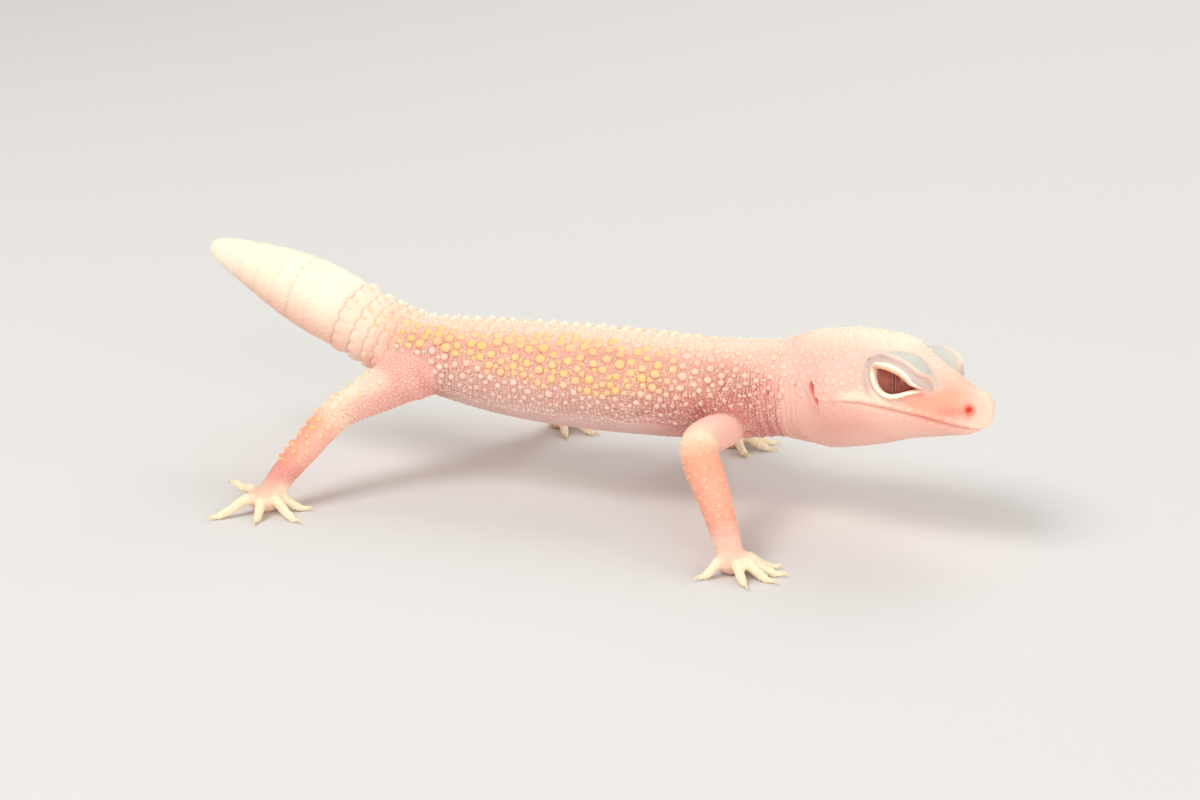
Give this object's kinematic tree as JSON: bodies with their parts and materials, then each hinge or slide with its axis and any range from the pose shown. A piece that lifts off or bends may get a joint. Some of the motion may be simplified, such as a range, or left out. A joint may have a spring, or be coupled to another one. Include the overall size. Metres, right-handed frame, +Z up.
{
  "type": "leopard gecko",
  "caption": "Pale leopard gecko standing on its feet as a life-size still model, its head turned to its right and its short regrown tail raised.",
  "frame": {"origin": "on the floor, under the middle of the model's box", "axes": "+X towards the head along the trunk, +Y to the animal's left, +Z up"},
  "size_m": [0.1563, 0.0838, 0.0409],
  "materials": {
    "skin": "soft, pale pink and cream, with small raised scales",
    "eye": "wet, dark red-brown iris with a slit pupil",
    "claw": "pale translucent horn"
  },
  "bodies": {
    "root": {"claw_front_left_1": "claw", "claw_front_left_2": "claw", "claw_front_left_3": "claw", "claw_front_left_4": "claw", "claw_front_left_5": "claw", "claw_front_right_1": "claw", "claw_front_right_2": "claw", "claw_front_right_3": "claw", "claw_front_right_4": "claw", "claw_front_right_5": "claw", "claw_hind_left_1": "claw", "claw_hind_left_2": "claw", "claw_hind_left_3": "claw", "claw_hind_left_4": "claw", "claw_hind_left_5": "claw", "claw_hind_right_1": "claw", "claw_hind_right_2": "claw", "claw_hind_right_3": "claw", "claw_hind_right_4": "claw", "claw_hind_right_5": "claw", "eye_left": "eye", "eye_right": "eye", "foot_left": "skin", "foot_right": "skin", "forearm_left": "skin", "forearm_right": "skin", "hand_left": "skin", "hand_right": "skin", "head": "skin", "lower_jaw": "skin", "neck": "skin", "shank_left": "skin", "shank_right": "skin", "tail_base": "skin", "tail_tip": "skin", "thigh_left": "skin", "thigh_right": "skin", "trunk": "skin", "upper_arm_left": "skin", "upper_arm_right": "skin"}
  },
  "joints": []
}
